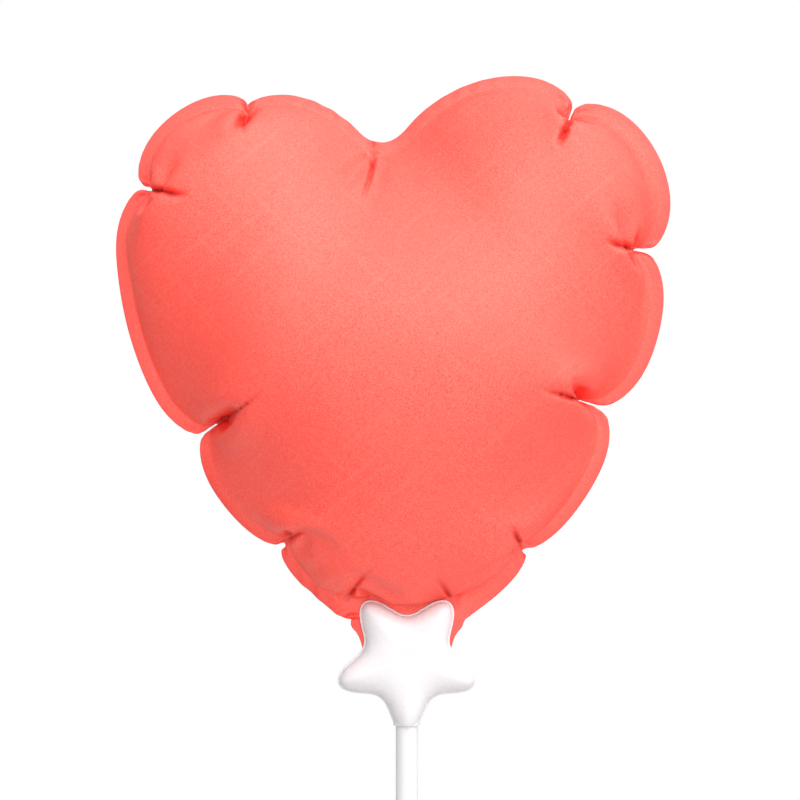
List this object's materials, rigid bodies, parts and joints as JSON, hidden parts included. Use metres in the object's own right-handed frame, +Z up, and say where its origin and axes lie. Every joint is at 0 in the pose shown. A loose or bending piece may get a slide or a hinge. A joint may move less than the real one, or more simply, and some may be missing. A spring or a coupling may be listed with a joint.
{
  "type": "film balloon on a stick",
  "caption": "Heart-shaped film balloon with a puckered welded margin, its neck clamped onto a straw stick by a star-shaped snap clip.",
  "frame": {"origin": "centre of the stick's lower end", "axes": "+Z up along the stick, +X to the right of someone facing the front, -Y out of the front face"},
  "size_m": [0.1053, 0.0524, 0.308],
  "materials": {
    "stick_plastic": "smooth extruded straw",
    "clip_plastic": "glossy moulded",
    "coral_film": "matte printed foil film with a fine grain",
    "valve_film": "thin translucent film"
  },
  "bodies": {
    "stick": {"stick": "stick_plastic"},
    "balloon": {"balloon_front_panel": "coral_film", "balloon_back_panel": "coral_film", "valve_film_front": "valve_film", "valve_film_back": "valve_film"},
    "clip_rear": {"star_clip_rear": "clip_plastic"},
    "clip_front": {"star_clip_front": "clip_plastic"}
  },
  "joints": [
    {"name": "balloon_off_stick", "type": "slide", "parent": "stick", "child": "balloon", "axis": [0, 0, 1], "range_m": [0, 0.02]},
    {"name": "clip_front_off", "type": "slide", "parent": "balloon", "child": "clip_front", "axis": [0, -1, 0], "range_m": [0, 0.012]},
    {"name": "clip_rear_off", "type": "slide", "parent": "balloon", "child": "clip_rear", "axis": [0, 1, 0], "range_m": [0, 0.012]}
  ]
}
